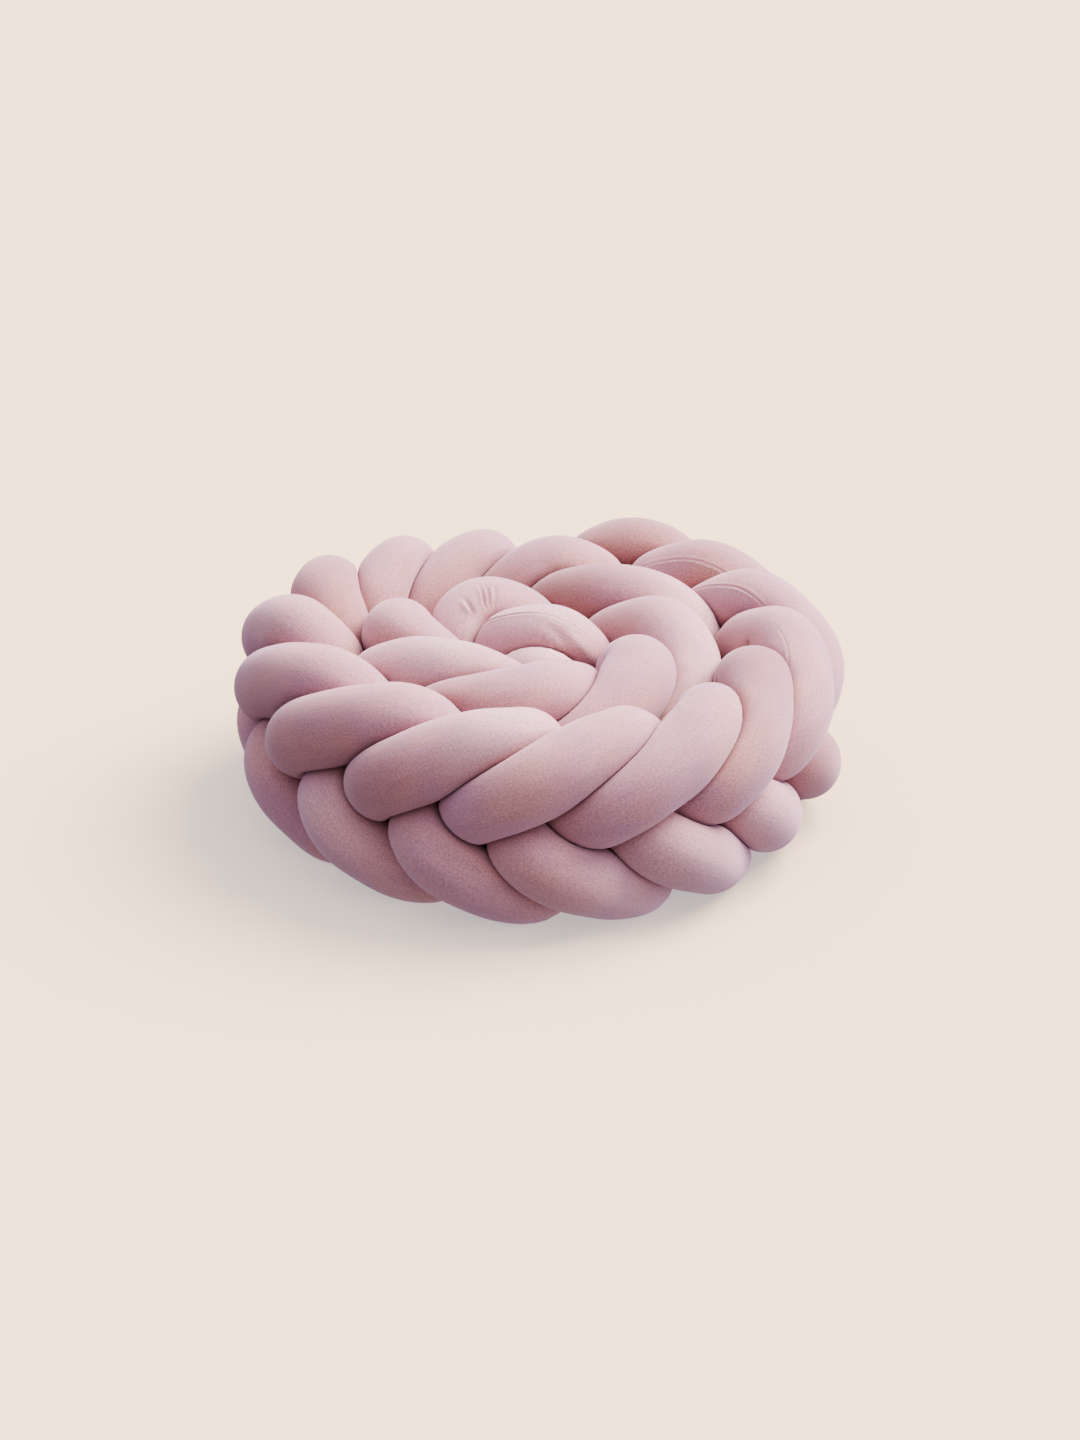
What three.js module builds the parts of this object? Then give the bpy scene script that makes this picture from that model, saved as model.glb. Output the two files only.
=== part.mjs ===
// Braided crib bumper, rolled up. Three stuffed velvet tubes are plaited into a three-strand braid,
// and the braid is wound, clockwise seen from above, into a coil that stands on its lower edge.
// Millimetres, +Z up. The origin is on the floor, under the middle of the coil's outline.
import * as THREE from 'three';

// Sizes of one stuffed tube and of the braid
const STRAND_RADIUS = 35; // of a tube that nothing presses on
const STRAND_COUNT = 3;
const WEAVE_DEPTH = 28; // how far a strand swings out of the braid's middle plane
const WEAVE_FULLNESS = 0.25; // keeps a strand on its face of the braid for longer
const FLOOR_PRESS = 8; // how far the lowest bends settle flat onto the floor
const FLOOR_SAG = 3; // cloth that is no higher than this sags onto the floor
const LOWER_BEND = 0.1; // sharpness of the bends along the lower edge
const LEAD_PEAK = 4 / 27; // the most that sin^2 times cos^4 can be, where a strand leads most
const END_LENGTH = 34; // over which a strand rounds off at its two ends
const CLEARANCE = 1.8; // between a strand's surface and the plane half-way to its neighbour

// The coil's outline is this far from the origin in the plan that the table is drawn in
const PLAN_MIDDLE = { x: -1.1, y: -2.91 };

// Where the braid starts and stops, counted in crossings of the upper edge
const FIRST_TURN = -0.45;
const LAST_TURN = 23.2;

// One row for each strand that crosses over the upper edge, from the outer end of the coil inwards.
// x, y: the crossing in plan. lean: how far the bends at both edges trail behind the braid's middle.
// shear: how far the upper edge trails behind the lower one, for each millimetre of height. peak:
// sharpness of the bend over the upper edge. Most rows have the usual value for the rest. tall: the
// braid's height. inner, outer: how far ahead a strand is pushed between the upper bend and the braid's
// middle, on the coil's inner and outer face. bulge, tuck: how much of the full weave a strand swings
// outwards and inwards.
const CROSSINGS = [
  { x: 83, y: 221, lean: -7, shear: -0.05, peak: 0 },
  { x: 154, y: 161, lean: -4, shear: 0, peak: 0, inner: -4 },
  { x: 209, y: 67, lean: 9, shear: 0.1, peak: 0.03, inner: -16, tuck: 0.95 },
  { x: 216, y: -35, tall: 194, lean: 22, shear: 0.2, peak: 0.02, inner: -36, tuck: 0.75 },
  { x: 175, y: -128, tall: 195, lean: 25, shear: 0.2, peak: 0, inner: -34, tuck: 0.7 },
  { x: 117, y: -195, tall: 193, lean: 25, shear: 0.22, peak: -0.02, inner: -34, outer: 4, tuck: 0.7 },
  { x: 23, y: -226, tall: 193, lean: 26, shear: 0.22, peak: -0.06, inner: -17, tuck: 0.9 },
  { x: -63, y: -212, lean: 20, shear: 0.2, peak: -0.04, inner: -5 },
  { x: -149, y: -154, lean: 14, shear: 0.2, peak: 0.02, inner: -4, outer: 4 },
  { x: -205, y: -67, lean: 14, shear: 0.2, peak: 0.05, outer: 8 },
  { x: -222, y: 35, lean: 11, shear: 0.15, peak: 0.05, inner: -7 },
  { x: -202, y: 111, lean: 0, shear: 0.05, peak: 0, inner: -13 },
  { x: -145, y: 157, lean: -9, shear: 0, peak: 0, inner: -12 },
  { x: -83, y: 176, lean: -18, shear: -0.05, peak: -0.02, inner: -13 },
  { x: -2, y: 176, lean: -20, shear: -0.05, peak: -0.02, inner: -4 },
  { x: 63, y: 113, lean: -18, shear: -0.05, peak: -0.02, outer: 44, bulge: 1.4 },
  { x: 115, y: 18, lean: -3, shear: 0, peak: 0, inner: -5, outer: 12 },
  { x: 72, y: -93, lean: 14, shear: 0.15, peak: 0.05, inner: -15, bulge: 0.9 },
  { x: -30, y: -120, lean: 18, shear: 0.2, peak: -0.04, inner: -34 },
  { x: -102, y: -53, lean: 18, shear: 0.2, peak: -0.06, inner: -43 },
  { x: -126, y: 13, lean: 5, shear: 0.05, peak: 0.02 },
  { x: -62, y: 65, lean: -9, shear: 0, peak: 0 },
  { x: 4, y: 11, lean: -15, shear: 0, peak: 0 },
  { x: 15, y: -38, tall: 173, lean: 0, shear: 0, peak: 0 },
];
const USUAL = { tall: 197, inner: 0, outer: 0, bulge: 1, tuck: 1 };

// How finely the solids are faceted
const SIDES = 11;
const RING_STEP = 16; // along a strand, from one section to the next
const SAMPLE_STEP = 4; // between the points that stand for a strand's middle line
const STEPS_PER_CROSSING = 60;
const OWN_REACH = 45; // a strand's middle line presses on itself only beyond this length
const INNER_BEND = 0.8; // of the way to the centre of a tight bend, as far as its inner side reaches

const VELVET = { color: 0xcfa9a9, roughness: 0.95, metalness: 0 };

// A natural cubic spline through one value for each row, as a function of the row number.
function spline(values) {
  const last = values.length - 1;
  const bend = new Array(last + 1).fill(0);
  const ratio = new Array(last + 1).fill(0);
  for (let i = 1; i < last; i += 1) {
    const pivot = 4 - ratio[i - 1];
    const load = 6 * (values[i + 1] - 2 * values[i] + values[i - 1]);
    ratio[i] = 1 / pivot;
    bend[i] = (load - bend[i - 1]) / pivot;
  }
  for (let i = last - 1; i > 0; i -= 1) bend[i] -= ratio[i] * bend[i + 1];
  return (at) => {
    const i = Math.min(Math.max(Math.floor(at), 0), last - 1);
    const b = at - i;
    const a = 1 - b;
    return a * values[i] + b * values[i + 1]
      + ((a ** 3 - a) * bend[i] + (b ** 3 - b) * bend[i + 1]) / 6;
  };
}

const column = (name) => spline(CROSSINGS.map((row) => row[name] ?? USUAL[name]));
const planX = column('x');
const planY = column('y');
const tall = column('tall');
const lean = column('lean');
const shear = column('shear');
const peak = column('peak');
const inner = column('inner');
const outer = column('outer');
const bulge = column('bulge');
const tuck = column('tuck');

// The middle point of one strand where the braid has come as far as the given crossing. The strand
// swings up and down once in three crossings, and out of the braid's middle plane twice as often.
function strandMiddle(strand, turn) {
  const nudge = 0.001;
  const along = new THREE.Vector2(planX(turn + nudge) - planX(turn - nudge),
    planY(turn + nudge) - planY(turn - nudge)).normalize();
  const outward = new THREE.Vector2(-along.y, along.x);
  const phase = (2 * Math.PI * (turn - strand)) / STRAND_COUNT + Math.PI / 2;
  const sharp = (peak(turn) + LOWER_BEND) / 2 + ((peak(turn) - LOWER_BEND) / 2) * Math.sin(phase);
  const swing = (Math.sin(phase) - sharp * Math.sin(3 * phase)) / (1 + sharp);
  const lowest = STRAND_RADIUS - FLOOR_PRESS;
  const highest = tall(turn) - STRAND_RADIUS;
  const rise = (swing * (highest - lowest)) / 2;
  const weave = -WEAVE_DEPTH * (Math.sin(2 * phase) + WEAVE_FULLNESS * Math.sin(4 * phase));
  const out = weave * (weave > 0 ? bulge(turn) : tuck(turn));
  const push = Math.sin(phase) < 0 ? 0 : (Math.cos(phase) > 0 ? inner : outer)(turn);
  const lead = (push * Math.sin(phase) ** 2 * Math.cos(phase) ** 4) / LEAD_PEAK;
  const ahead = lean(turn) * Math.cos(2 * phase) - shear(turn) * rise + lead;
  return new THREE.Vector3(
    planX(turn) - PLAN_MIDDLE.x + outward.x * out + along.x * ahead,
    planY(turn) - PLAN_MIDDLE.y + outward.y * out + along.y * ahead,
    (highest + lowest) / 2 + rise,
  );
}

// A strand's middle line, as points at an even spacing along its length.
function middleLine(strand, spacing) {
  const count = Math.round((LAST_TURN - FIRST_TURN) * STEPS_PER_CROSSING);
  const dense = [];
  const reached = [0];
  for (let i = 0; i <= count; i += 1) {
    dense.push(strandMiddle(strand, FIRST_TURN + ((LAST_TURN - FIRST_TURN) * i) / count));
    if (i > 0) reached.push(reached[i - 1] + dense[i].distanceTo(dense[i - 1]));
  }
  const length = reached[count];
  const steps = Math.round(length / spacing);
  const points = [];
  let i = 0;
  for (let s = 0; s <= steps; s += 1) {
    const goal = (length * s) / steps;
    while (i < count - 1 && reached[i + 1] < goal) i += 1;
    const part = (goal - reached[i]) / (reached[i + 1] - reached[i]);
    points.push({ at: goal, place: dense[i].clone().lerp(dense[i + 1], part) });
  }
  return { points, length };
}

const lines = Array.from({ length: STRAND_COUNT }, (_, strand) => middleLine(strand, SAMPLE_STEP));

// The points of all three middle lines that can press on a section of a strand.
function neighbours(strand, at, place) {
  const near = [];
  lines.forEach((line, other) => {
    for (const point of line.points) {
      if (other === strand && Math.abs(point.at - at) < OWN_REACH) continue;
      if (point.place.distanceTo(place) < 2 * STRAND_RADIUS) near.push(point.place.clone().sub(place));
    }
  });
  return near;
}

// How far a strand's surface lies from its middle line in one direction: its free radius, or less on the
// inner side of a tight bend and where it is pressed flat against another strand or against the floor.
function reach(free, place, direction, bend, near) {
  let radius = free;
  const inward = direction.dot(bend);
  if (inward > 0) radius = Math.min(radius, INNER_BEND / inward);
  for (const offset of near) {
    const facing = direction.dot(offset);
    if (facing > 0) radius = Math.min(radius, offset.lengthSq() / (2 * facing) - CLEARANCE);
  }
  if (direction.z < 0) radius = Math.min(radius, place.z / -direction.z);
  return radius;
}

// The corners of one strand's sections, ring after ring, between its two end points.
function strandCorners(strand, points, length) {
  const corners = [points[0].place];
  const side = new THREE.Vector3(0, 0, 1);
  for (let i = 1; i < points.length - 1; i += 1) {
    const { at, place } = points[i];
    const tangent = points[i + 1].place.clone().sub(points[i - 1].place).normalize();
    side.addScaledVector(tangent, -side.dot(tangent)).normalize();
    const across = tangent.clone().cross(side);
    const fromEnd = Math.min(at, length - at, END_LENGTH) / END_LENGTH;
    const free = STRAND_RADIUS * Math.sqrt(1 - (1 - fromEnd) ** 2);
    const bend = points[i + 1].place.clone().add(points[i - 1].place).addScaledVector(place, -2)
      .divideScalar(RING_STEP ** 2);
    const near = neighbours(strand, at, place);
    for (let k = 0; k < SIDES; k += 1) {
      const angle = (2 * Math.PI * k) / SIDES;
      const direction = side.clone().multiplyScalar(Math.cos(angle))
        .addScaledVector(across, Math.sin(angle));
      const radius = reach(free, place, direction, bend, near);
      const corner = place.clone().addScaledVector(direction, radius);
      if (corner.z < FLOOR_SAG) corner.z = 0;
      corners.push(corner);
    }
  }
  corners.push(points[points.length - 1].place);
  return corners;
}

// One strand as a closed tube, rounded off at both ends. Each quad between two rings is split along the
// diagonal that lies nearer to the strand's middle, so that a pressed hollow stays hollow.
function strandGeometry(strand) {
  const { points, length } = middleLine(strand, RING_STEP);
  const corners = strandCorners(strand, points, length);
  const rings = points.length - 2;
  const corner = (ring, k) => 1 + ring * SIDES + (k % SIDES);
  const halfway = (p, q) => corners[p].clone().lerp(corners[q], 0.5);
  const lastPoint = corners.length - 1;
  const faces = [];
  for (let k = 0; k < SIDES; k += 1) {
    faces.push(0, corner(0, k + 1), corner(0, k));
    faces.push(lastPoint, corner(rings - 1, k), corner(rings - 1, k + 1));
    for (let ring = 0; ring < rings - 1; ring += 1) {
      const [a, b] = [corner(ring, k), corner(ring, k + 1)];
      const [d, c] = [corner(ring + 1, k), corner(ring + 1, k + 1)];
      const middle = points[ring + 1].place.clone().lerp(points[ring + 2].place, 0.5);
      const splitsAtC = halfway(a, c).distanceTo(middle) < halfway(b, d).distanceTo(middle);
      faces.push(...(splitsAtC ? [a, b, c, a, c, d] : [a, b, d, b, c, d]));
    }
  }
  const geometry = new THREE.BufferGeometry().setFromPoints(corners);
  geometry.setIndex(faces);
  geometry.computeVertexNormals();
  return geometry;
}

const bumper = new THREE.Group();
['strand_a', 'strand_b', 'strand_c'].forEach((name, strand) => {
  const mesh = new THREE.Mesh(strandGeometry(strand), new THREE.MeshStandardMaterial(VELVET));
  mesh.name = name;
  bumper.add(mesh);
});

export default bumper;
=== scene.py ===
"""Braided crib bumper, rolled up: three stuffed velvet tubes, braided and wound into a standing coil."""
import math

import bpy
import numpy as np
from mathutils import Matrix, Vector


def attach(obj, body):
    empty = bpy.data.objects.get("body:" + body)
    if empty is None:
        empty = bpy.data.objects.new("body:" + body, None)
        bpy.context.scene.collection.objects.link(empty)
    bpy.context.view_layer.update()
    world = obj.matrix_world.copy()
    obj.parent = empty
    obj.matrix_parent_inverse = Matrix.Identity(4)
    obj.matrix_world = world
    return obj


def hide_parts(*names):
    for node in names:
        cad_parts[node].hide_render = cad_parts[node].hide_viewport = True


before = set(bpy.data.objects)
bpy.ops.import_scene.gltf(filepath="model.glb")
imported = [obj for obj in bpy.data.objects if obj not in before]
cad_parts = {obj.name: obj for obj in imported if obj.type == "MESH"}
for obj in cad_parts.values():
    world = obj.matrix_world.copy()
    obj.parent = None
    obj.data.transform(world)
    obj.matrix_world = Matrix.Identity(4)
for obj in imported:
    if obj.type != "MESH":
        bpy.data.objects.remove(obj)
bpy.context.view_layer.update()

# Sizes in millimetres, as the solids have them
MM = 0.001
STRANDS = ("strand_a", "strand_b", "strand_c")
STRAND_RADIUS = 35.0
GIRTH = 2 * math.pi * STRAND_RADIUS
BRAID_HEIGHT = 197.0
WEAVE_DEPTH = 28.0  # how far a strand swings out of the braid's middle plane
WEAVE_FULLNESS = 0.25  # keeps a strand on its face of the braid for longer
FLOOR_PRESS = 8.0  # how far the lowest bends settle onto the floor
LOWER_BEND = 0.1  # sharpness of the bends along the lower edge
LEAD_PEAK = 4 / 27  # the most that sin^2 times cos^4 can be, where a strand leads most
END_LENGTH = 34.0  # over which a strand rounds off at its two ends
PLAN_MIDDLE = np.array([-1.1, -2.91])
FIRST_TURN, LAST_TURN = -0.45, 23.2
OWN_REACH = 45.0  # a strand presses on itself only beyond this length

# One row for each crossing of the upper edge, from the outer end of the coil inwards. x, y: in plan.
# tall: the braid's height. lean: how far the bends at both edges trail. shear: how far the upper edge
# trails behind the lower one, for each millimetre. peak: sharpness of the upper bend. inner, outer: how far
# ahead a strand is pushed below that bend, on the coil's inner and outer face. bulge, tuck: its share of the
# full weave, on the outer and inner face.
CROSSINGS = (
    dict(x=83, y=221, lean=-7, shear=-0.05, peak=0),
    dict(x=154, y=161, lean=-4, shear=0, peak=0, inner=-4),
    dict(x=209, y=67, lean=9, shear=0.1, peak=0.03, inner=-16, tuck=0.95),
    dict(x=216, y=-35, tall=194, lean=22, shear=0.2, peak=0.02, inner=-36, tuck=0.75),
    dict(x=175, y=-128, tall=195, lean=25, shear=0.2, peak=0, inner=-34, tuck=0.7),
    dict(x=117, y=-195, tall=193, lean=25, shear=0.22, peak=-0.02, inner=-34, outer=4, tuck=0.7),
    dict(x=23, y=-226, tall=193, lean=26, shear=0.22, peak=-0.06, inner=-17, tuck=0.9),
    dict(x=-63, y=-212, lean=20, shear=0.2, peak=-0.04, inner=-5),
    dict(x=-149, y=-154, lean=14, shear=0.2, peak=0.02, inner=-4, outer=4),
    dict(x=-205, y=-67, lean=14, shear=0.2, peak=0.05, outer=8),
    dict(x=-222, y=35, lean=11, shear=0.15, peak=0.05, inner=-7),
    dict(x=-202, y=111, lean=0, shear=0.05, peak=0, inner=-13),
    dict(x=-145, y=157, lean=-9, shear=0, peak=0, inner=-12),
    dict(x=-83, y=176, lean=-18, shear=-0.05, peak=-0.02, inner=-13),
    dict(x=-2, y=176, lean=-20, shear=-0.05, peak=-0.02, inner=-4),
    dict(x=63, y=113, lean=-18, shear=-0.05, peak=-0.02, outer=44, bulge=1.4),
    dict(x=115, y=18, lean=-3, shear=0, peak=0, inner=-5, outer=12),
    dict(x=72, y=-93, lean=14, shear=0.15, peak=0.05, inner=-15, bulge=0.9),
    dict(x=-30, y=-120, lean=18, shear=0.2, peak=-0.04, inner=-34),
    dict(x=-102, y=-53, lean=18, shear=0.2, peak=-0.06, inner=-43),
    dict(x=-126, y=13, lean=5, shear=0.05, peak=0.02),
    dict(x=-62, y=65, lean=-9, shear=0, peak=0),
    dict(x=4, y=11, lean=-15, shear=0, peak=0),
    dict(x=15, y=-38, tall=173, lean=0, shear=0, peak=0),
)
USUAL = dict(tall=BRAID_HEIGHT, inner=0, outer=0, bulge=1, tuck=1)

# How finely the cloth is drawn
STATION_STEP = 4.5  # along a strand
FOLD_STEP = 1.0  # along it through the narrow folds
FOLD_MARGIN = 0.06  # of a crossing, on both sides of a fold
TIP_STATIONS = 12  # over each rounded end
TIP_GAP = 1.0  # the least step from those to the others
COLUMNS = 96  # around a strand
SEAM_COLUMNS = (1.0, 2.0, 3.2, 4.8)  # closer columns on both sides of the seam
DIRECTIONS = 128  # around a section, in which the cloth's reach is worked out
LINE_POINTS = 1500  # along a strand's middle line, to measure it by
SAMPLE_STEP = 4.0  # between the points of a middle line that press on the strands beside it

# How the cloth is pressed
CLEARANCE = 0.25  # from a strand's cloth to the plane half-way to its neighbour
CREASE_RADIUS = 10.0  # of the cloth where a round side turns into a pressed one
INNER_BEND = 0.97  # share of the way to a tight bend's centre that the cloth on its inner side may fill
LEAST_REACH = 0.5  # of the cloth from the middle line, before its pressed edges are rounded
FACING_WALL, FACING_EDGE = 1e-6, 0.02  # a direction that faces a plane less than this never meets it
SMOOTHING = 8.0  # millimetres over which pressed edges are smoothed along a strand
SMOOTHING_SWELL = 0.15  # the most by which that may push pressed cloth out
LOOSE_OVER = 3.0  # cloth that is pressed in this far isn't loose any more
HELD_DENTS = 0.2  # the share of its dents that pressed cloth keeps

# Waves of uneven filling in a hand-stuffed tube. high: how far they rise and fall. long: millimetres along
# the tube for each radian, below 0 if they wind the other way. around: waves round the tube. sway: radians
# that they swing to the side. shift: radians from one strand to the next.
FILLING = (
    dict(high=0.3, long=13.1, around=0, sway=1.5, shift=1.9),
    dict(high=0.25, long=7.3, around=2, sway=0, shift=1),
    dict(high=0.15, long=-19.0, around=3, sway=0, shift=0),
)
GATHERS, GATHER_DEPTH, GATHER_REACH = 11, 1.4, 14.0  # the small folds at a tube's sewn-up ends

# Where the long seam of each tube shows: crossing number, degrees from the section's top towards the coil's
# inside, and how open it is, from 0 to 1. It shows on the far bends of the outer turn and on the last bends
# of the inner one, and runs on closed along the tube from there.
SEAMS = (
    ((3.05, 28, 0), (3.15, 20, 0.2), (3.24, 14, 0.4), (3.35, 12, 0.4), (3.55, 30, 0)),
    ((0.6, 26, 0.1), (0.74, 30, 0.3), (0.8, 36, 0.35), (0.88, 40, 0.35), (0.98, 44, 0.35), (1.08, 47, 0.35),
     (1.2, 49, 0.3), (1.4, 56, 0), (21.1, 46, 0), (21.4, 28, 0.6), (21.6, 22, 0.85), (21.75, 19, 0.85),
     (21.85, 21, 0.7), (21.95, 25, 0.5), (22.1, 24, 0)),
    ((1.4, 24, 0), (1.71, 21, 0.35), (1.79, 27, 0.45), (1.85, 32, 0.55), (1.96, 43, 0.55), (2.04, 46, 0.5),
     (2.14, 44, 0.45), (2.4, 52, 0), (22.6, 38, 0), (22.79, 36, 0.12), (23.0, 36, 0)),
)
SEAM_SMOOTHING = 12.0  # millimetres over which the seam's course is smoothed
SEAM_KEEL, SEAM_KEEL_WIDTH = 0.9, 6.0  # the cloth is drawn to a slight ridge along an open seam
SEAM_KEEL_FULL = 0.4  # how open the seam is where that ridge is full
SEAM_GROOVE, SEAM_GROOVE_WIDTH = 1.3, 0.8  # depth of the parting, and half its width
SEAM_LIP, SEAM_LIP_FROM, SEAM_LIP_WIDTH = 0.8, 2.0, 1.0  # height of the lips beside it, place, half width
SEAM_UNEVEN = 0.5  # share by which the lips rise and fall along the seam
SEAM_STITCH, SEAM_PULL = 3.1, 8.3  # millimetres for each radian of the waves in which they do

# Folds in the cloth, placed one by one. path: crossing number and degrees, as for the seams. wide, deep: of
# the crease. roll: height of the cloth rolled up along its one side, on the left of the path, or on the
# right if it is below 0.
FOLDS = (
    dict(strand=0, path=((20.84, 10), (20.815, 18), (20.785, 26), (20.755, 26), (20.7, 17)),
         wide=1.5, deep=3.2, roll=2.2),
    dict(strand=0, path=((20.965, 14), (20.955, 24), (20.94, 34), (20.905, 43), (20.87, 50)),
         wide=1.1, deep=2.4, roll=1.2),
    dict(strand=0, path=((20.995, 16), (20.99, 28), (20.975, 40), (20.935, 52)),
         wide=1.1, deep=2.4, roll=1.2),
    dict(strand=0, path=((21.04, 22), (21.035, 34), (21.02, 46), (20.99, 57)),
         wide=1.1, deep=2.0, roll=1.0),
    dict(strand=1, path=((22.03, 34), (22.06, 45), (22.08, 54), (22.105, 64)),
         wide=3.8, deep=2.2, roll=-1.5),
    dict(strand=2, path=((5.08, 30), (5.12, 24), (5.16, 14)), wide=2.6, deep=0.6, roll=0.4),
    dict(strand=2, path=((5.02, 34), (5.06, 26), (5.08, 16)), wide=2.6, deep=0.6, roll=0.4),
    dict(strand=1, path=((16.4, 4), (16.45, 1), (16.5, -6)), wide=3.0, deep=0.7, roll=0.3),
)
FOLD_POINTS = 24  # along a fold's path
FOLD_REACH = 45.0  # along the strand from a fold's middle, past both its ends
FOLD_FADE = 0.7  # how slowly a fold fades out towards its ends
ROLL_FROM, ROLL_WIDTH = 2.0, 1.3  # of the cloth rolled up beside a crease, in widths of the crease

# Stretches painted paler or deeper, placed one by one. They stand partly for pile brushed one way, partly
# for painted light on stretches that catch the light and painted shade on stretches in shade. strand, turn:
# their middle, by crossing number. long: half the length, in crossings. pale: how much paler they look, or
# deeper and warmer if it is below 0.
BRUSHED_AND_PAINTED_LIGHT = (
    dict(strand=0, turn=0.0, long=0.4, pale=-0.7),
    dict(strand=0, turn=2.5, long=0.25, pale=-0.8),
    dict(strand=0, turn=5.0, long=0.5, pale=0.4),
    dict(strand=0, turn=8.0, long=0.4, pale=0.4),
    dict(strand=0, turn=9.6, long=0.3, pale=-0.7),
    dict(strand=0, turn=14.6, long=0.4, pale=-1.0),
    dict(strand=0, turn=15.5, long=0.3, pale=0.9),
    dict(strand=0, turn=18.6, long=0.3, pale=-1.0),
    dict(strand=0, turn=20.6, long=0.3, pale=0.5),
    dict(strand=1, turn=1.0, long=0.4, pale=-0.4),
    dict(strand=1, turn=3.3, long=0.7, pale=-0.6),
    dict(strand=1, turn=4.0, long=0.3, pale=-0.5),
    dict(strand=1, turn=5.5, long=0.4, pale=0.5),
    dict(strand=1, turn=7.0, long=0.3, pale=0.6),
    dict(strand=1, turn=7.6, long=0.3, pale=-0.6),
    dict(strand=1, turn=15.5, long=0.3, pale=-1.0),
    dict(strand=1, turn=16.5, long=0.4, pale=0.8),
    dict(strand=1, turn=19.0, long=0.3, pale=0.5),
    dict(strand=1, turn=21.4, long=0.25, pale=-0.5),
    dict(strand=1, turn=22.0, long=0.3, pale=0.6),
    dict(strand=1, turn=22.5, long=0.2, pale=-0.5),
    dict(strand=2, turn=4.0, long=0.3, pale=0.25),
    dict(strand=2, turn=6.8, long=0.4, pale=0.1),
    dict(strand=2, turn=8.5, long=0.3, pale=-0.5),
    dict(strand=2, turn=10.9, long=0.4, pale=-0.5),
    dict(strand=2, turn=13.5, long=0.3, pale=-0.8),
    dict(strand=2, turn=23.0, long=0.5, pale=1.0),
)


def spline(values):
    """A natural cubic spline through one value for each row, as a function of the row number."""
    values = np.array(values, float)
    last = len(values) - 1
    bend = np.zeros(last + 1)
    system = 4 * np.eye(last - 1) + np.eye(last - 1, k=1) + np.eye(last - 1, k=-1)
    bend[1:-1] = np.linalg.solve(system, 6 * (values[2:] - 2 * values[1:-1] + values[:-2]))

    def at(row):
        i = np.clip(np.floor(row), 0, last - 1).astype(int)
        b = row - i
        a = 1 - b
        curve = ((a**3 - a) * bend[i] + (b**3 - b) * bend[i + 1]) / 6
        return a * values[i] + b * values[i + 1] + curve

    return at


def column(name):
    """One column of the crossings' table, as a smooth function of the crossing number."""
    return spline([row.get(name, USUAL.get(name)) for row in CROSSINGS])


plan_x, plan_y, tall = column("x"), column("y"), column("tall")
lean, shear, peak = column("lean"), column("shear"), column("peak")
inner, outer, bulge, tuck = column("inner"), column("outer"), column("bulge"), column("tuck")


def unit(vectors):
    """The vectors at a length of 1."""
    return vectors / np.linalg.norm(vectors, axis=-1, keepdims=True)


def strand_middle(strand, turn):
    """A strand's middle points where the braid has come as far as these crossings."""
    nudge = 0.001
    along = unit(np.stack([plan_x(turn + nudge) - plan_x(turn - nudge),
                           plan_y(turn + nudge) - plan_y(turn - nudge)], 1))
    outward = np.stack([-along[:, 1], along[:, 0]], 1)
    phase = 2 * np.pi * (turn - strand) / len(STRANDS) + np.pi / 2
    sine, cosine = np.sin(phase), np.cos(phase)
    sharp = (peak(turn) + LOWER_BEND) / 2 + (peak(turn) - LOWER_BEND) / 2 * sine
    swing = (sine - sharp * np.sin(3 * phase)) / (1 + sharp)
    lowest = STRAND_RADIUS - FLOOR_PRESS
    highest = tall(turn) - STRAND_RADIUS
    rise = swing * (highest - lowest) / 2
    weave = -WEAVE_DEPTH * (np.sin(2 * phase) + WEAVE_FULLNESS * np.sin(4 * phase))
    out = weave * np.where(weave > 0, bulge(turn), tuck(turn))
    push = np.where(sine < 0, 0, np.where(cosine > 0, inner(turn), outer(turn)))
    lead = push * sine**2 * cosine**4 / LEAD_PEAK
    ahead = lean(turn) * np.cos(2 * phase) - shear(turn) * rise + lead
    plan = np.stack([plan_x(turn), plan_y(turn)], 1) - PLAN_MIDDLE
    plan = plan + outward * out[:, None] + along * ahead[:, None]
    return np.column_stack([plan, (highest + lowest) / 2 + rise])


def turns_along(strand):
    """Close crossing numbers along the braid, and how much of the strand's length each has reached."""
    turn = np.linspace(FIRST_TURN, LAST_TURN, LINE_POINTS)
    steps = np.linalg.norm(np.diff(strand_middle(strand, turn), axis=0), axis=1)
    return turn, np.concatenate([[0], np.cumsum(steps)])


def line_samples(strand):
    """Points of a strand's middle line at an even spacing, with the length reached at each."""
    turn, reached = turns_along(strand)
    at = np.linspace(0, reached[-1], round(reached[-1] / SAMPLE_STEP) + 1)
    return strand_middle(strand, np.interp(at, reached, turn)), at


LINES = [line_samples(strand) for strand in range(len(STRANDS))]


def station_lengths(strand, turn, reached):
    """The lengths along a strand at which it has a section: closer through its folds and over its ends."""
    length = reached[-1]
    tip = END_LENGTH * (1 - np.cos(np.linspace(0, np.pi / 2, TIP_STATIONS + 1)[1:]))
    step = np.full(len(turn), STATION_STEP)
    for fold in FOLDS:
        if fold["strand"] == strand:
            folded = [place[0] for place in fold["path"]]
            step[(turn > min(folded) - FOLD_MARGIN) & (turn < max(folded) + FOLD_MARGIN)] = FOLD_STEP
    passed = np.concatenate([[0], np.cumsum(np.diff(reached) / step[1:])])
    middle = np.interp(np.arange(1, passed[-1]), passed, reached)
    past_tip = END_LENGTH + TIP_GAP
    middle = middle[(middle > past_tip) & (middle < length - past_tip)]
    return np.concatenate([tip, middle, length - tip[::-1]])


def carried(tangents):
    """A direction square to each tangent, carried from one to the next without twisting."""
    direction = np.array([0, 0, 1.0])
    directions = []
    for tangent in tangents:
        direction = unit(direction - tangent * np.dot(direction, tangent))
        directions.append(direction)
    return np.array(directions)


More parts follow.
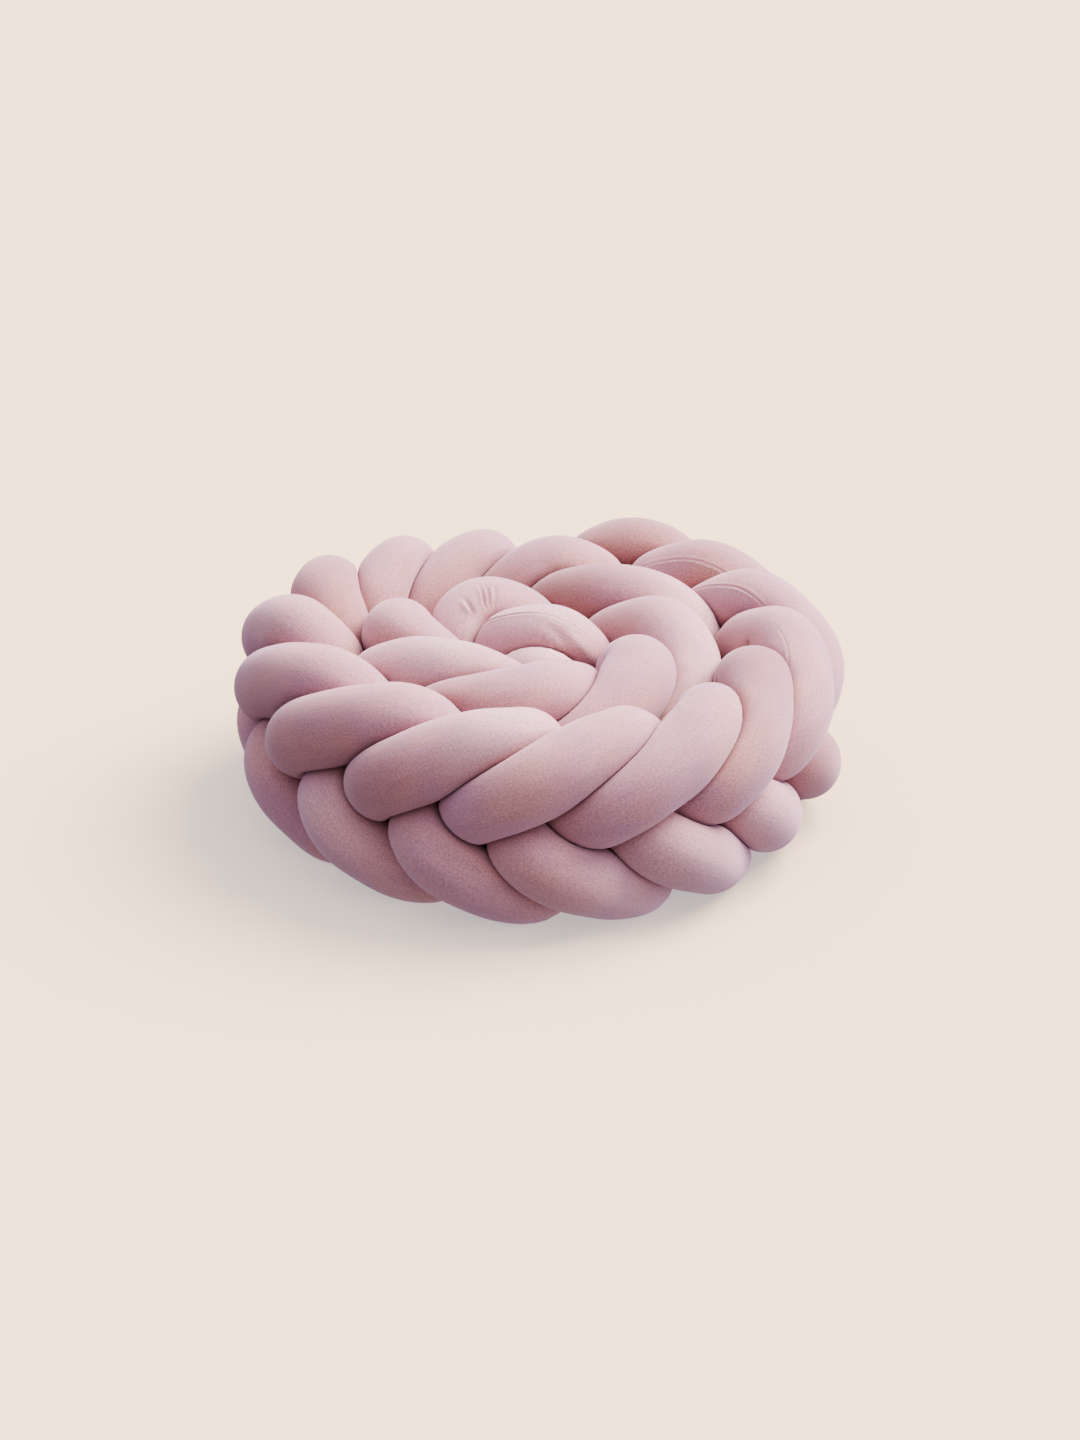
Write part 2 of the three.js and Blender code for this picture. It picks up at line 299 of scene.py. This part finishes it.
def stations(strand):
    """Where a strand's sections are: crossing number, length reached, middle point, and the frame there,
    with the angle from the frame to the section's top."""
    turn, reached = turns_along(strand)
    length = reached[-1]
    at = station_lengths(strand, turn, reached)
    turn = np.interp(at, reached, turn)
    place = strand_middle(strand, turn)
    nudge = 0.01
    ahead, behind = strand_middle(strand, turn + nudge), strand_middle(strand, turn - nudge)
    speed = np.linalg.norm(ahead - behind, axis=1, keepdims=True) / 2
    tangent = unit(ahead - behind)
    bend = (ahead + behind - 2 * place) / speed**2
    bend -= tangent * np.sum(bend * tangent, 1, keepdims=True)
    up = carried(tangent)
    side = np.cross(tangent, up)
    top = np.unwrap(np.arctan2(side[:, 2], up[:, 2]))
    from_end = np.minimum(at, length - at)
    end = np.minimum(from_end, END_LENGTH) / END_LENGTH
    free = STRAND_RADIUS * np.sqrt(1 - (1 - end) ** 2)
    return dict(turn=turn, at=at, place=place, bend=bend, up=up, side=side, top=top, free=free,
                from_end=from_end, length=length)


def walls_near(strand, rings, station):
    """The planes that hold the cloth in at one station, and how far off they are: short of a tight bend's
    centre, half-way to every strand that is near, and on the floor."""
    place = rings["place"][station]
    walls, room = [rings["bend"][station:station + 1]], [np.array([INNER_BEND])]
    for other, (points, at) in enumerate(LINES):
        offset = points - place
        distance = np.linalg.norm(offset, axis=1)
        near = distance < 2 * STRAND_RADIUS
        if other == strand:
            near &= np.abs(at - rings["at"][station]) > OWN_REACH
        walls.append(offset[near] / distance[near, None])
        room.append(distance[near] / 2 - CLEARANCE)
    walls.append(np.array([[0, 0, -1.0]]))
    room.append(place[2:])
    return np.concatenate(walls), np.concatenate(room)


def nearest_wall(room, facing, least):
    """How far it is to the nearest plane in each direction, from how far off each is and how it faces."""
    return np.where(facing > least, room[:, None] / np.maximum(facing, least), np.inf).min(0)


ANGLES = np.linspace(0, 2 * np.pi, DIRECTIONS, endpoint=False)
AROUND = np.stack([np.cos(ANGLES), np.sin(ANGLES)])
FACING = np.cos(ANGLES[:, None] - ANGLES[None, :])


def pressed_radius(strand, rings):
    """How far the cloth lies from the middle line, for each station and each angle: the free radius, or
    less on the inner side of a tight bend and where another strand or the floor presses. The edges of the
    pressed places are rounded as filled cloth rounds."""
    radius = []
    for station, free in enumerate(rings["free"]):
        round_off = min(CREASE_RADIUS, free / 2)
        walls, room = walls_near(strand, rings, station)
        flat = walls @ np.stack([rings["up"][station], rings["side"][station]], 1)
        room = room - round_off * np.linalg.norm(flat, axis=1)
        held = np.clip(nearest_wall(room, flat @ AROUND, FACING_WALL), LEAST_REACH, free - round_off)
        support = (FACING * held).max(1) + round_off
        radius.append(nearest_wall(support, FACING, FACING_EDGE))
    return np.array(radius)


def blurred(rows, at, spread):
    """Rows of values, one for each length along the strand, blurred over so many millimetres."""
    weights = np.exp(-0.5 * ((at[:, None] - at) / spread) ** 2) * np.gradient(at)
    return weights @ rows / weights.sum(1, keepdims=True)


def around_section(rings, turns, degrees):
    """Degrees from the section's top at these crossing numbers, as radians round the carried frame."""
    return np.unwrap(np.interp(turns, rings["turn"], rings["top"]) + np.radians(degrees))


def seam_along(strand, rings):
    """The seam's place round each section, in radians, and how open it is there."""
    turns, degrees, opening = zip(*SEAMS[strand])
    rows = np.stack([np.interp(rings["turn"], turns, around_section(rings, turns, degrees)),
                     np.interp(rings["turn"], turns, opening)], 1)
    return blurred(rows, rings["at"], SEAM_SMOOTHING).T[..., None]


def columns_around():
    """How far round a tube each column of its mesh is from the seam, closer to each other beside it."""
    near = np.array(SEAM_COLUMNS)
    rest = np.linspace(near[-1], GIRTH - near[-1], COLUMNS - 2 * len(near) + 1)[1:-1]
    return np.concatenate([[0], near, rest, GIRTH - near[::-1]])


ROUND = columns_around()
FROM_SEAM = np.where(ROUND > GIRTH / 2, ROUND - GIRTH, ROUND)


def seam_shape(at, opening):
    """Along a seam: its groove and its lips, each as a share of its full size."""
    groove = opening * np.exp(-(FROM_SEAM / SEAM_GROOVE_WIDTH) ** 2)
    uneven = 1 + SEAM_UNEVEN * np.sin(at / SEAM_STITCH + np.sign(FROM_SEAM)) * np.sin(at / SEAM_PULL)
    lips = opening * uneven * np.exp(-((np.abs(FROM_SEAM) - SEAM_LIP_FROM) / SEAM_LIP_WIDTH) ** 2)
    return groove, lips


def beside_fold(fold, rings, angle):
    """The stations near a fold, and for the cloth there how far it is from the crease, to the left of its
    path, and how much of the fold reaches it."""
    turns, degrees = zip(*fold["path"])
    row = np.linspace(0, len(turns) - 1, FOLD_POINTS)
    along = spline(np.interp(turns, rings["turn"], rings["at"]))(row)
    turned = spline(around_section(rings, turns, degrees))(row)
    heading = unit(np.stack([np.gradient(along), np.gradient(turned) * STRAND_RADIUS], 1))
    near = np.abs(rings["at"] - along.mean()) < FOLD_REACH
    off_along = rings["at"][near, None, None] - along
    off_around = np.angle(np.exp(1j * (angle[near][..., None] - turned))) * STRAND_RADIUS
    closest = np.argmin(off_along**2 + off_around**2, 2)
    across = heading[:, 0] * off_around - heading[:, 1] * off_along
    across = np.take_along_axis(across, closest[..., None], 2)[..., 0]
    return near, across, np.sin(np.pi * closest / (FOLD_POINTS - 1)) ** FOLD_FADE


def folds(strand, rings, angle):
    """How far the folds take the cloth in at their creases, and out beside them."""
    creases, rolls = np.zeros_like(angle), np.zeros_like(angle)
    for fold in FOLDS:
        if fold["strand"] == strand:
            near, across, share = beside_fold(fold, rings, angle)
            across = across / fold["wide"]
            beside = (across * np.sign(fold["roll"]) - ROLL_FROM) / ROLL_WIDTH
            creases[near] -= fold["deep"] * share * np.exp(-across**2)
            rolls[near] += abs(fold["roll"]) * share * np.exp(-beside**2)
    return creases, rolls


def relief(strand, rings, angle, opening, loose):
    """How far the cloth stands in or out of a smooth full tube: uneven filling, seam, folds and gathers.
    Where it is pressed and so less loose, it can't stand out."""
    at = rings["at"][:, None]
    filling = sum(wave["high"] * np.sin(at / wave["long"] + wave["around"] * angle
                                        + wave["sway"] * np.sin(angle) + wave["shift"] * strand)
                  for wave in FILLING)
    keel = SEAM_KEEL * np.minimum(opening / SEAM_KEEL_FULL, 1) * np.exp(-np.abs(FROM_SEAM) / SEAM_KEEL_WIDTH)
    groove, lips = seam_shape(at, opening)
    seam = keel - SEAM_GROOVE * groove + SEAM_LIP * lips
    gathers = -GATHER_DEPTH * (0.5 + 0.5 * np.cos(GATHERS * angle)) * np.exp(
        -rings["from_end"][:, None] / GATHER_REACH)
    creases, rolls = folds(strand, rings, angle)
    raised = filling + seam + gathers + rolls
    return creases + raised * np.where(raised > 0, loose, HELD_DENTS + (1 - HELD_DENTS) * loose)


def brushed_and_painted_light(strand, rings):
    """How much paler or deeper each station is painted: pile brushed one way, with painted light on the
    paler stretches and painted shade on the deeper ones.
    """
    pale = np.zeros(len(rings["at"]))
    for stretch in BRUSHED_AND_PAINTED_LIGHT:
        if stretch["strand"] == strand:
            pale += stretch["pale"] * np.exp(-((rings["turn"] - stretch["turn"]) / stretch["long"]) ** 2)
    return pale


def radius_at(radius, angle):
    """A section's radius at these angles, between the directions in which it was worked out."""
    place = angle / (2 * np.pi) * DIRECTIONS
    low = np.floor(place).astype(int)
    part = place - low
    row = np.arange(len(radius))[:, None]
    return radius[row, low % DIRECTIONS] * (1 - part) + radius[row, (low + 1) % DIRECTIONS] * part


def cloth_points(strand, rings, seam_place, opening):
    """Where a tube's cloth lies: a ring of points for each station, which starts at the seam."""
    pressed = pressed_radius(strand, rings)
    pressed = np.minimum(blurred(pressed, rings["at"], SMOOTHING), pressed + SMOOTHING_SWELL)
    angle = seam_place + ROUND / STRAND_RADIUS
    reach = radius_at(pressed, angle)
    loose = np.clip(1 - (rings["free"][:, None] - reach) / LOOSE_OVER, 0, 1)
    reach = reach + relief(strand, rings, angle, opening, loose)
    direction = (np.cos(angle)[..., None] * rings["up"][:, None]
                 + np.sin(angle)[..., None] * rings["side"][:, None])
    points = rings["place"][:, None] + direction * reach[..., None]
    points[..., 2] = np.maximum(points[..., 2], 0)
    return points


def tube_mesh(name, points, tips):
    """A closed mesh of rings, drawn together to a point at both ends, with its faces outwards."""
    count = len(points)
    corners = np.concatenate([points.reshape(-1, 3), tips]) * MM
    here = np.arange(COLUMNS)
    following = (here + 1) % COLUMNS
    ring = np.arange(count - 1)[:, None] * COLUMNS
    quads = np.stack([ring + here, ring + following, ring + COLUMNS + following, ring + COLUMNS + here], 2)
    last_ring = (count - 1) * COLUMNS
    first_tip, last_tip = count * COLUMNS, count * COLUMNS + 1
    start = np.stack([np.full(COLUMNS, first_tip), following, here], 1)
    stop = np.stack([np.full(COLUMNS, last_tip), last_ring + here, last_ring + following], 1)
    mesh = bpy.data.meshes.new(name)
    mesh.from_pydata(corners.tolist(), [], quads.reshape(-1, 4).tolist() + start.tolist() + stop.tolist())
    mesh.polygons.foreach_set("use_smooth", [True] * len(mesh.polygons))
    return mesh


def map_nap(mesh, rings):
    """The UV map that the pile's patterns follow: metres along the tube and round it from the seam."""
    along = np.repeat(rings["at"][:, None], COLUMNS + 1, 1)
    across = np.repeat(np.append(ROUND, GIRTH)[None, :], len(along), 0)
    flat = np.stack([along, across], 2) * MM
    quads = np.stack([flat[:-1, :-1], flat[:-1, 1:], flat[1:, 1:], flat[1:, :-1]], 2)
    middle = (flat[:, :-1] + flat[:, 1:]) / 2
    start_tip = middle[0] - [rings["at"][0] * MM, 0]
    stop_tip = middle[-1] + [(rings["length"] - rings["at"][-1]) * MM, 0]
    start = np.stack([start_tip, flat[0, 1:], flat[0, :-1]], 1)
    stop = np.stack([stop_tip, flat[-1, :-1], flat[-1, 1:]], 1)
    places = np.concatenate([faces.reshape(-1) for faces in (quads, start, stop)])
    mesh.uv_layers.new(name="Nap").uv.foreach_set("vector", places.astype(np.float32))


def mark(mesh, name, shares):
    """A value for each point of the rings, and 0 for the two tips, that the velvet reads by name."""
    attribute = mesh.attributes.new(name, "FLOAT", "POINT")
    attribute.data.foreach_set("value", np.append(shares.reshape(-1), [0, 0]).astype(np.float32))


def strand_piece(strand, name):
    """One stuffed tube as a closed mesh, with its seam along the first column."""
    rings = stations(strand)
    seam_place, opening = seam_along(strand, rings)
    points = cloth_points(strand, rings, seam_place, opening)
    mesh = tube_mesh(name, points, strand_middle(strand, np.array([FIRST_TURN, LAST_TURN])))
    map_nap(mesh, rings)
    groove, lips = seam_shape(rings["at"][:, None], opening)
    mark(mesh, "Parting", groove)
    # A painted highlight on the seam's lip, on its one side, where the lip catches the light
    mark(mesh, "LipHighlight", np.where(FROM_SEAM > 0, lips, 0))
    # Brushed stretches, painted paler with painted light and deeper with painted shade
    mark(mesh, "BrushedAndPaintedLight", np.repeat(brushed_and_painted_light(strand, rings)[:, None], COLUMNS, 1))
    piece = bpy.data.objects.new(name, mesh)
    bpy.context.scene.collection.objects.link(piece)
    return piece


def linear(hex_colour):
    """An sRGB hex colour as linear red, green, blue and alpha."""
    srgb = [int(hex_colour[i:i + 2], 16) / 255 for i in (1, 3, 5)]
    return [c / 12.92 if c <= 0.04045 else ((c + 0.055) / 1.055) ** 2.4 for c in srgb] + [1.0]


def emptied(owner):
    """A new material or world with its nodes in use, and none there yet."""
    owner.use_nodes = True
    owner.node_tree.nodes.clear()
    return owner


def add(owner, kind, inputs=None, **settings):
    """One node with its settings, and a value or a link for each of its inputs."""
    node = owner.node_tree.nodes.new(kind)
    for key, value in settings.items():
        setattr(node, key, value)
    for socket, value in (inputs or {}).items():
        if isinstance(value, bpy.types.NodeSocket):
            owner.node_tree.links.new(value, node.inputs[socket])
        else:
            node.inputs[socket].default_value = value
    return node


# Sizes of what shows in the velvet. Its tufts are about 0.3 mm, too fine to show here, so they are drawn as
# coarse as they need to show.
TUFT = 1.7 * MM
TUFT_RELIEF = 0.5 * MM
STROKE_LONG, STROKE_WIDE = 26 * MM, 9 * MM  # marks of a hand that brushed the pile
PATCH = 60 * MM  # where the pile leans one way

# Colours of the pile: leaning one way and the other; brushed pale and deep, which also paints light and
# shade; a painted highlight on a seam's lip, and its parting; and the light that its tips scatter
WARM_PILE, COOL_PILE = "#BB908A", "#B38B92"
PALE_PILE_AND_LIGHT, DEEP_PILE_AND_SHADE = "#D0ADAA", "#9A6E65"
SEAM_LIP_HIGHLIGHT, SEAM_PARTING = "#E2C2C0", "#8A5C63"
PILE_TIPS = "#F0DDE8"


def pile_colour(material, patches, strokes, tufts):
    """The pile's colour by the way it leans, by its brushed stretches with their painted light and shade,
    and with streaks and the speckle of its tufts.
    """
    leaning = add(material, "ShaderNodeMapRange", {"Value": patches, "From Min": 0.35, "From Max": 0.65})
    lean_colour = add(material, "ShaderNodeMix", {
        0: leaning.outputs["Result"], 6: linear(WARM_PILE), 7: linear(COOL_PILE)}, data_type="RGBA")
    # Brushed stretches: the paler colour stands for brushed pile and painted light, the deeper one for
    # brushed pile and painted shade
    brushed_and_lit = add(material, "ShaderNodeAttribute", attribute_name="BrushedAndPaintedLight")
    pale_brushed_and_lit = add(material, "ShaderNodeMix", {
        0: brushed_and_lit.outputs["Fac"], 6: lean_colour.outputs[2], 7: linear(PALE_PILE_AND_LIGHT)}, data_type="RGBA")
    deep_share = add(material, "ShaderNodeMath", {
        0: brushed_and_lit.outputs["Fac"], 1: -1.0}, operation="MULTIPLY")
    deep_brushed_and_shaded = add(material, "ShaderNodeMix", {
        0: deep_share.outputs["Value"], 6: pale_brushed_and_lit.outputs[2], 7: linear(DEEP_PILE_AND_SHADE)}, data_type="RGBA")
    streaked = add(material, "ShaderNodeMapRange", {
        "Value": strokes, "From Min": 0.3, "From Max": 0.7, "To Min": 0.95, "To Max": 1.05})
    speckled = add(material, "ShaderNodeMapRange", {
        "Value": tufts, "From Min": 0.3, "From Max": 0.7, "To Min": 0.83, "To Max": 1.17})
    shade = add(material, "ShaderNodeMath", {
        0: streaked.outputs["Result"], 1: speckled.outputs["Result"]}, operation="MULTIPLY")
    pile = add(material, "ShaderNodeVectorMath", {
        0: deep_brushed_and_shaded.outputs[2], "Scale": shade.outputs["Value"]}, operation="SCALE")
    return pile.outputs["Vector"]


def seam_colour(material, pile, tufts):
    """The pile's colour with a mottled painted highlight on the seam's lip, on its one side, and the dark
    parting.
    """
    lip_highlight = add(material, "ShaderNodeAttribute", attribute_name="LipHighlight")
    mottled = add(material, "ShaderNodeMapRange", {
        "Value": tufts, "From Min": 0.35, "From Max": 0.65, "To Min": 0.2, "To Max": 1.6})
    paler = add(material, "ShaderNodeMath", {
        0: lip_highlight.outputs["Fac"], 1: mottled.outputs["Result"]}, operation="MULTIPLY")
    # The painted highlight along the seam's lip, mottled by the tufts
    highlighted_lip = add(material, "ShaderNodeMix", {
        0: paler.outputs["Value"], 6: pile, 7: linear(SEAM_LIP_HIGHLIGHT)}, data_type="RGBA")
    parting = add(material, "ShaderNodeAttribute", attribute_name="Parting")
    darker = add(material, "ShaderNodeMath", {0: parting.outputs["Fac"], 1: 0.6}, operation="MULTIPLY")
    seamed = add(material, "ShaderNodeMix", {
        0: darker.outputs["Value"], 6: highlighted_lip.outputs[2], 7: linear(SEAM_PARTING)}, data_type="RGBA")
    return seamed.outputs[2]


def velvet():
    """Woven cotton velvet with a short dense pile. The pile's tips scatter light to the side, so slanted
    surfaces look pale and soft and faces look deep. Where the pile leans another way it is warmer or more
    lilac, and along a seam it parts in a darker line, with a painted highlight on the lip on its one side."""
    material = emptied(bpy.data.materials.new("Dusty pink short-pile velvet"))
    nap = add(material, "ShaderNodeUVMap", uv_map="Nap").outputs["UV"]
    tufts = add(material, "ShaderNodeTexNoise", {
        "Vector": nap, "Scale": 1 / TUFT, "Detail": 2.0, "Roughness": 0.7},
        noise_dimensions="2D").outputs["Fac"]
    stretched = add(material, "ShaderNodeMapping", {
        "Vector": nap, "Scale": (1 / STROKE_LONG, 1 / STROKE_WIDE, 1)})
    strokes = add(material, "ShaderNodeTexNoise", {
        "Vector": stretched.outputs["Vector"], "Scale": 1.0, "Detail": 3.0, "Roughness": 0.6,
        "Distortion": 0.5}, noise_dimensions="2D").outputs["Fac"]
    patches = add(material, "ShaderNodeTexNoise", {
        "Vector": nap, "Scale": 1 / PATCH, "Detail": 1.5, "Roughness": 0.5, "Distortion": 0.6},
        noise_dimensions="2D").outputs["Fac"]
    pile = pile_colour(material, patches, strokes, tufts)
    raised = add(material, "ShaderNodeMath", {0: strokes, 1: 1.5, 2: tufts}, operation="MULTIPLY_ADD")
    bump = add(material, "ShaderNodeBump", {
        "Height": raised.outputs["Value"], "Strength": 0.3, "Distance": TUFT_RELIEF})
    dullness = add(material, "ShaderNodeMapRange", {"Value": strokes, "To Min": 0.84, "To Max": 0.96})
    shader = add(material, "ShaderNodeBsdfPrincipled", {
        "Base Color": seam_colour(material, pile, tufts), "Roughness": dullness.outputs["Result"],
        "Sheen Weight": 0.58, "Sheen Roughness": 0.62, "Sheen Tint": linear(PILE_TIPS),
        "Specular IOR Level": 0.15, "Normal": bump.outputs["Normal"]})
    add(material, "ShaderNodeOutputMaterial", {"Surface": shader.outputs["BSDF"]})
    return material


cloth = velvet()
for strand, name in enumerate(STRANDS):
    tube = strand_piece(strand, name + "_velvet")
    tube.data.materials.append(cloth)
    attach(tube, "root")
    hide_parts(name)


FLOOR_SIZE = 60  # metres, so that its edges are out of sight


def floor():
    """A plain pale studio floor with a faint glow of its own, which keeps the coil's shadow pale."""
    bpy.ops.object.select_all(action="DESELECT")
    bpy.ops.mesh.primitive_plane_add(size=FLOOR_SIZE, location=(0, 0, 0))
    ground = bpy.context.object
    ground.name = "floor"
    material = emptied(bpy.data.materials.new("Pale matt floor"))
    shader = add(material, "ShaderNodeBsdfPrincipled", {
        "Base Color": linear("#CFB386"), "Roughness": 1.0, "Specular IOR Level": 0.0,
        "Emission Color": linear("#F2F7FF"), "Emission Strength": 0.27})
    add(material, "ShaderNodeOutputMaterial", {"Surface": shader.outputs["BSDF"]})
    ground.data.materials.append(material)
    ground.visible_diffuse = False


# The key light: the direction it comes from, its strength, how many degrees wide it is, and its colour
KEY_FROM, KEY_STRENGTH, KEY_WIDTH, KEY_COLOUR = (0.9, 0.45, 1.1), 3.7, 45, "#FFF6EE"

# The soft light that comes from each side of the room: direction, colour and strength
ROOM = (
    ((0, 0, 1), "#EAE5F7", 1.26),
    ((1, 0, 0), "#D8D4FF", 0.85),
    ((-1, 0, 0), "#A4A6FF", 0.21),
    ((0, -1, 0), "#FFEAE0", 0.33),
    ((0, 1, 0), "#F6F0F6", 0.4),
    ((0, 0, -1), "#DED2D6", 0.42),
)
ROOM_FOCUS = 2.0  # how closely the light from each side keeps to its direction
EXPOSURE = 0.6


def key_light():
    """A broad, distant studio light from the upper right, as even over the floor as over the coil."""
    light = bpy.data.lights.new("key light", "SUN")
    light.energy = KEY_STRENGTH
    light.angle = math.radians(KEY_WIDTH)
    light.color = linear(KEY_COLOUR)[:3]
    holder = bpy.data.objects.new("key light", light)
    holder.rotation_euler = Vector(KEY_FROM).to_track_quat("Z", "Y").to_euler()
    bpy.context.scene.collection.objects.link(holder)


def room_light():
    """A room with cooler light from its sides than from its front."""
    world = emptied(bpy.data.worlds.new("studio"))
    where = add(world, "ShaderNodeTexCoord")
    light = None
    for come_from, colour, strength in ROOM:
        toward = add(world, "ShaderNodeVectorMath", {0: where.outputs["Generated"], 1: come_from},
                     operation="DOT_PRODUCT")
        facing = add(world, "ShaderNodeMath", {0: toward.outputs["Value"], 1: 0.0}, operation="MAXIMUM")
        share = add(world, "ShaderNodeMath", {0: facing.outputs["Value"], 1: ROOM_FOCUS}, operation="POWER")
        glow = [strength * part for part in linear(colour)[:3]]
        side = add(world, "ShaderNodeVectorMath", {0: glow, "Scale": share.outputs["Value"]},
                   operation="SCALE")
        if light:
            side = add(world, "ShaderNodeVectorMath", {0: light, 1: side.outputs["Vector"]}, operation="ADD")
        light = side.outputs["Vector"]
    background = add(world, "ShaderNodeBackground", {"Color": light})
    add(world, "ShaderNodeOutputWorld", {"Surface": background.outputs["Background"]})
    bpy.context.scene.world = world


def picture_tone():
    """The contrast and brightness of the picture."""
    view = bpy.context.scene.view_settings
    view.view_transform = "AgX"
    view.look = "AgX - High Contrast"
    view.exposure = EXPOSURE


# The camera that took the photograph: its height angle, how far it stood, and where the coil's top shows
ELEVATION = math.radians(23.5)
DISTANCE = 3213 * MM
AIM = Vector((-PLAN_MIDDLE[0] * MM, -PLAN_MIDDLE[1] * MM, BRAID_HEIGHT * MM))
PHOTO_HEIGHT = 1440
AIM_ABOVE_MIDDLE = 113  # pixels
PIXEL_AT_AIM = 0.925 * MM  # one pixel of the photograph at the aim's distance
SENSOR_HEIGHT = 36  # millimetres


def camera():
    """A camera at the photograph's angle, with its framing."""
    lens = bpy.data.cameras.new("photo camera")
    lens.sensor_fit = "VERTICAL"
    lens.sensor_height = SENSOR_HEIGHT
    lens.lens = DISTANCE / (PIXEL_AT_AIM * PHOTO_HEIGHT) * SENSOR_HEIGHT
    lens.shift_y = -AIM_ABOVE_MIDDLE / PHOTO_HEIGHT
    holder = bpy.data.objects.new("photo camera", lens)
    holder.location = AIM + DISTANCE * Vector((0, -math.cos(ELEVATION), math.sin(ELEVATION)))
    holder.rotation_euler = (math.pi / 2 - ELEVATION, 0, 0)
    bpy.context.scene.collection.objects.link(holder)
    bpy.context.scene.camera = holder


floor()
key_light()
room_light()
picture_tone()
camera()
